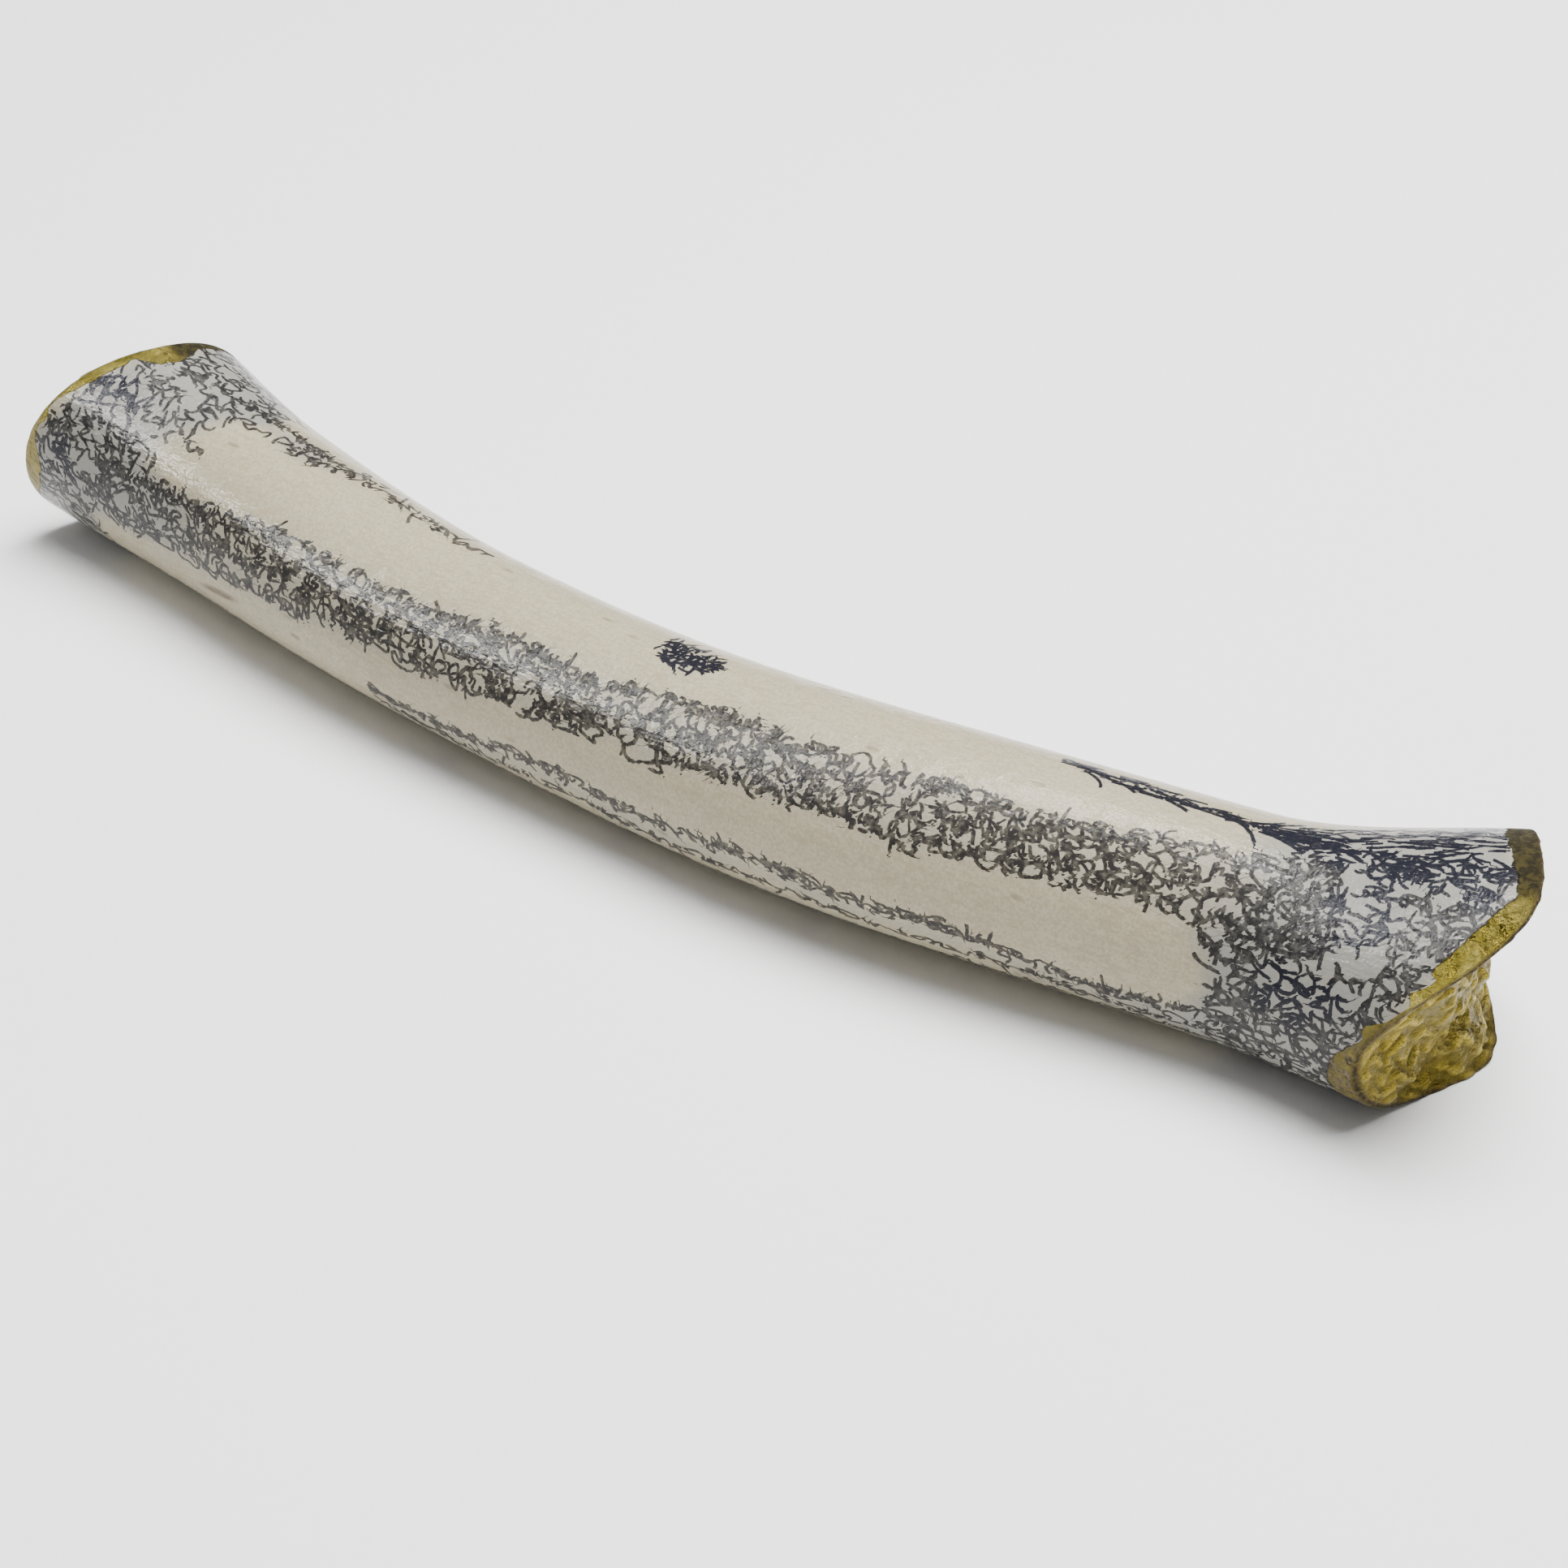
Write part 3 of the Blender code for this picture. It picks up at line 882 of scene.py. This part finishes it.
def shape_bone(mesh):
    """Moves a sphere's rings onto the bone.

    Gives each point's ring, step round the bone, angle, place, and depth in the end faces' creases, which
    sets the painted shade there."""
    bm = bmesh.new()
    bmesh.ops.create_uvsphere(bm, u_segments=AROUND, v_segments=LAST_RING, radius=1.0)
    start = np.array([v.co for v in bm.verts])
    ring = np.rint(np.arccos(np.clip(start[:, 2], -1, 1)) / np.pi * LAST_RING).astype(int)
    around = np.arctan2(start[:, 1], start[:, 0])
    step = np.rint(around / (2 * np.pi) * AROUND).astype(int) % AROUND
    points = np.zeros_like(start)
    crease_shade = np.zeros(len(start))
    for number in range(LAST_RING + 1):
        chosen = ring == number
        points[chosen], crease_shade[chosen] = ring_points(number, around[chosen])
    for vert, point in zip(bm.verts, points):
        vert.co = point
    for face in bm.faces:
        face.smooth = True
    bm.to_mesh(mesh)
    bm.free()
    return ring, step, around, points, crease_shade


def ink_fields(used, bold_faces):
    """For each face of the side, how much grey wash lies round its marks, and how blue-black they are."""
    density = blurred(np.minimum(used, 2) / 2, WASH_BLUR)
    from_middle = np.abs(np.arange(SHAFT_RINGS) / SHAFT_RINGS * 2 - 1)[:, None]
    wash = ease(density, 0.32, 0.75) * (0.45 + 0.55 * ease(from_middle, 0.62, 0.80))
    return {"wash": wash, "navy": np.clip(blurred(bold_faces, NAVY_BLUR) * 2.2, 0, 1)}


def leaf_fields(ring, side, around, along):
    """For each point, how far inside the leaf it lies, in millimetres, how worn and dull the leaf is, and
    where it is darkened as painted shade.
    """
    degrees = np.degrees(around)
    from_end = np.minimum(ring, LAST_RING - ring) - FACE_RINGS
    from_slim = (along - slim_face(around, 1.0)) * MILLIMETRES
    from_broad = (broad_face(around, 1.0) - along) * MILLIMETRES
    leaf = np.maximum(read_off(SLIM_LEAF, degrees) - from_slim, read_off(BROAD_LEAF, degrees) - from_broad)
    leaf[~side] = np.maximum(leaf[~side], 1.0)
    # The leaf is dull and darkened as painted shade on the top and towards the back, and in part low at the
    # front and underneath.
    broad_dull_shade = ease(degrees, 68, 82) * ease(-degrees, -150, -120) + 0.5 * ease(-degrees, -30, -15)
    slim_dull_shade = 0.06 + 0.94 * ease(degrees, 95, 104) + 0.25 * ease(-degrees, -40, 10)
    # The broad end's lower front side band, by its rim: scuffed leaf, darkened as painted shade too.
    scuffed_and_shaded = ease(degrees, -75, -55) * ease(-degrees, -14, 2) * ease(-from_broad, -4.0, -2.5)
    return {
        "leaf": np.clip(leaf, -3, 3),
        "rim": np.clip(1.4 - np.abs(from_end - ROUND_RINGS / 2) / 1.6, 0, 1),
        "dull_shade": np.where(along > 0, broad_dull_shade, slim_dull_shade),
        "end_face": 1.0 - np.clip(from_end, 0, ROUND_RINGS) / ROUND_RINGS,
        "scuff_and_shade": np.where(side, scuffed_and_shaded, 0.0),
    }


def bone_fields(side, around, along):
    """For each point, how much painted shade the bare bone gets towards its back, and how stained it is."""
    degrees = np.degrees(around)
    u = along / (SPAN / 2)
    # Painted shade from the top towards the back, stronger towards the broad end.
    painted_back_shade = ease(degrees, 98, 140) * (0.5 + 0.5 * ease(u, 0.3, 0.7)) * ease(-degrees, -240, -170)
    streak = np.hypot((u + 0.64) / 0.055, (degrees + 14 - (u + 0.64) * 90) / 4.5)
    stain = ease(-streak, -1.0, -0.35)
    return {"painted_back_shade": np.where(side, painted_back_shade, 0.0), "stain": np.where(side, stain, 0.0)}


def finish_bone(mesh, pen_width, mark_height):
    """Shapes the bone, and writes what its material reads from the mesh."""
    ring, step, around, points, crease_shade = shape_bone(mesh)
    side = (ring >= FIRST_SIDE_RING) & (ring <= LAST_RING - FIRST_SIDE_RING)
    grid = np.zeros((SHAFT_RINGS + 1, AROUND, 3))
    grid[ring[side] - FIRST_SIDE_RING, step[side]] = points[side]
    ink, used, bold_faces = lay_ink(grid, all_strokes(mark_height), pen_width / 2)
    write_pen(mesh, ring, step, ink)

    fields = {"crease_shade": crease_shade}
    face_ring = np.minimum(ring[side] - FIRST_SIDE_RING, SHAFT_RINGS - 1)
    for name, values in ink_fields(used, bold_faces).items():
        fields[name] = np.zeros(len(ring))
        fields[name][side] = values[face_ring, step[side]]
    along = points[:, 0] - CENTRING[0]
    along[side] = place_along(ring[side], around[side])
    fields |= leaf_fields(ring, side, around, along) | bone_fields(side, around, along)
    for name, values in fields.items():
        layer = mesh.attributes.new(name, "FLOAT", "POINT")
        layer.data.foreach_set("value", values.astype(np.float32))


def write_pen(mesh, ring, step, ink):
    """Writes the ink's distances to the faces' corners, four slots to an attribute."""
    corner_vert = np.zeros(len(mesh.loops), int)
    mesh.loops.foreach_get("vertex_index", corner_vert)
    sizes = np.zeros(len(mesh.polygons), int)
    mesh.polygons.foreach_get("loop_total", sizes)
    owner = np.repeat(np.arange(len(sizes)), sizes)
    corner_ring = ring[corner_vert]
    corner_step = step[corner_vert]
    low_ring = np.full(len(sizes), LAST_RING)
    np.minimum.at(low_ring, owner, corner_ring)
    low_step = np.full(len(sizes), AROUND)
    high_step = np.zeros(len(sizes), int)
    np.minimum.at(low_step, owner, corner_step)
    np.maximum.at(high_step, owner, corner_step)
    first_step = np.where(high_step - low_step > 1, high_step, low_step)
    face_ring = low_ring[owner] - FIRST_SIDE_RING
    face_step = first_step[owner]
    on_side = (face_ring >= 0) & (face_ring < SHAFT_RINGS) & (sizes[owner] == 4)
    upper = corner_ring > low_ring[owner]
    ahead = corner_step != face_step
    corner = np.where(upper, np.where(ahead, 2, 1), np.where(ahead, 3, 0))
    values = np.full((len(corner_vert), PEN_SLOTS), PEN_FAR, np.float32)
    values[on_side] = ink[face_ring[on_side], face_step[on_side], corner[on_side]]
    for number, name in enumerate(("pen_a", "pen_b")):
        layer = mesh.attributes.new(name, "FLOAT_COLOR", "CORNER")
        layer.data.foreach_set("color", values[:, 4 * number : 4 * number + 4].ravel())


class BoneSettings(bpy.types.PropertyGroup):
    pen_width: bpy.props.FloatProperty(
        name="Pen width", description="Width of one pen line", default=0.00034, min=0.0001, unit="LENGTH"
    )
    mark_height: bpy.props.FloatProperty(
        name="Mark height", description="Height of a row's marks", default=0.00180, min=0.0005, unit="LENGTH"
    )
    ivory: bpy.props.FloatVectorProperty(
        name="Bone", description="Colour of the bare bone", default=IVORY, subtype="COLOR", min=0, max=1
    )
    ink: bpy.props.FloatVectorProperty(
        name="Ink", description="Colour of the pen marks", default=INK, subtype="COLOR", min=0, max=1
    )
    gold: bpy.props.FloatVectorProperty(
        name="Gold leaf", description="Colour of clean gold leaf", default=GOLD, subtype="COLOR", min=0, max=1
    )


class StudioSettings(bpy.types.PropertyGroup):
    floor: bpy.props.FloatVectorProperty(
        name="Floor", description="Colour of the floor", default=FLOOR, subtype="COLOR", min=0, max=1
    )
    light: bpy.props.FloatProperty(
        name="Light", description="Power of the large soft light", default=14.0, min=0.0, unit="POWER"
    )
    gleam: bpy.props.FloatProperty(
        name="Gleam", description="Share of the gleams' full power", default=1.0, min=0.0, subtype="FACTOR"
    )
    sky: bpy.props.FloatProperty(
        name="Fill", description="Strength of the light from overhead", default=0.44, min=0.0
    )
    lens: bpy.props.FloatProperty(
        name="Lens", description="Focal length on a 36 mm wide sensor", default=84.30, unit="CAMERA"
    )


class INKEDBONE_OT_bone(bpy.types.Operator):
    """Add the bone with its pen marks and gold leaf"""

    bl_idname = "mesh.inked_bone_add"
    bl_label = "Bone"
    bl_options = {"REGISTER", "UNDO"}

    def execute(self, context):
        settings = context.scene.inked_bone
        mesh = bpy.data.meshes.new("bone_finish")
        mesh.materials.append(bone_material(settings))
        finish_bone(mesh, settings.pen_width, settings.mark_height)
        piece = bpy.data.objects.new("bone_finish", mesh)
        context.scene.collection.objects.link(piece)
        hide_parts("bone")
        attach(piece, "root")
        return {"FINISHED"}


class INKEDBONE_OT_studio(bpy.types.Operator):
    """Add the floor, the lights and the camera"""

    bl_idname = "scene.inked_bone_studio"
    bl_label = "Studio"
    bl_options = {"REGISTER", "UNDO"}

    def execute(self, context):
        settings = context.scene.inked_bone_studio
        add_floor(context.scene, settings.floor)
        turn = look_at(KEY_PLACE, KEY_AIM)
        key = add_light(context.scene, "key", KEY_PLACE, turn, KEY_SIZE, settings.light)
        key.visible_glossy = False
        for gleam in GLEAMS:
            add_gleam(context.scene, *gleam, settings.gleam)
        context.scene.world = studio_world(settings.sky)
        add_camera(context.scene, settings.lens)
        return {"FINISHED"}


def studio_world(strength):
    """Soft light from all round, bright overhead and dim at the sides."""
    shader = Shader(bpy.data.worlds.new("studio"), "Background")
    direction = shader.node("ShaderNodeTexCoord", output="Generated")
    height = shader.node("ShaderNodeSeparateXYZ", inputs={0: direction}, output="Z")
    glow = (height.ramp(0.0, 1.0) * 0.85 + 0.15) * strength
    shader.feed(shader.surface, {"Color": (1.0, 1.0, 1.0, 1.0), "Strength": glow})
    return shader.owner


def add_floor(scene, colour):
    bm = bmesh.new()
    bmesh.ops.create_grid(bm, x_segments=1, y_segments=1, size=FLOOR_SIZE)
    mesh = bpy.data.meshes.new("floor")
    bm.to_mesh(mesh)
    bm.free()
    shader = Shader(bpy.data.materials.new("floor_paper"))
    paper = shader.noise(40.0, 2.0)
    shade = shader.mix(paper, colour, [c * 0.99 for c in colour])
    shader.feed(shader.surface, {"Base Color": shade, "Roughness": 0.9, "Specular IOR Level": 0.1})
    mesh.materials.append(shader.owner)
    floor = bpy.data.objects.new("floor", mesh)
    scene.collection.objects.link(floor)


def look_at(place, target):
    """The turn that points an object's -Z from its place at a target, upright."""
    return (Vector(target) - Vector(place)).to_track_quat("-Z", "Y")


def add_gleam(scene, name, start, end, width, power, share):
    """Adds a strip of light between two places, facing the bone, that shows only in what shines."""
    start, end = Vector(start), Vector(end)
    along = (end - start).normalized()
    middle = (start + end) / 2
    back = (middle - along * middle.dot(along)).normalized()
    turn = Matrix((along, back.cross(along), back)).transposed().to_quaternion()
    light = add_light(scene, name, middle, turn, ((end - start).length, width), power * share)
    light.visible_diffuse = False


def placed(scene, name, data, place, turn):
    """Adds a light or a camera to the scene, at a place and with a turn."""
    made = bpy.data.objects.new(name, data)
    made.location = place
    made.rotation_mode = "QUATERNION"
    made.rotation_quaternion = turn
    scene.collection.objects.link(made)
    return made


def add_light(scene, name, place, turn, size, power):
    data = bpy.data.lights.new(name, "AREA")
    data.shape = "RECTANGLE"
    data.size, data.size_y = size
    data.energy = power
    return placed(scene, name, data, place, turn)


def add_camera(scene, lens):
    data = bpy.data.cameras.new("camera")
    data.lens = lens
    data.sensor_width = SENSOR_WIDTH
    data.sensor_fit = "HORIZONTAL"
    data.clip_start = 0.01
    camera = placed(scene, "camera", data, CAMERA_PLACE, look_at(CAMERA_PLACE, CAMERA_AIM))
    bpy.context.scene.camera = camera


class VIEW3D_PT_inked_bone(bpy.types.Panel):
    """Lists the bone's and the studio's settings"""

    bl_label = "Inked Bone"
    bl_space_type = "VIEW_3D"
    bl_region_type = "UI"
    bl_category = "Bone"

    def draw(self, context):
        for settings, operator in (
            (context.scene.inked_bone, INKEDBONE_OT_bone),
            (context.scene.inked_bone_studio, INKEDBONE_OT_studio),
        ):
            box = self.layout.box()
            for name in settings.__annotations__:
                box.prop(settings, name)
            box.operator(operator.bl_idname)


CLASSES = (BoneSettings, StudioSettings, INKEDBONE_OT_bone, INKEDBONE_OT_studio, VIEW3D_PT_inked_bone)


def register():
    for cls in CLASSES:
        bpy.utils.register_class(cls)
    bpy.types.Scene.inked_bone = bpy.props.PointerProperty(type=BoneSettings)
    bpy.types.Scene.inked_bone_studio = bpy.props.PointerProperty(type=StudioSettings)


def unregister():
    del bpy.types.Scene.inked_bone_studio
    del bpy.types.Scene.inked_bone
    for cls in reversed(CLASSES):
        bpy.utils.unregister_class(cls)


def main():
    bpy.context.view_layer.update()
    register()
    bpy.ops.mesh.inked_bone_add()
    bpy.ops.scene.inked_bone_studio()


if __name__ == "__main__":
    main()
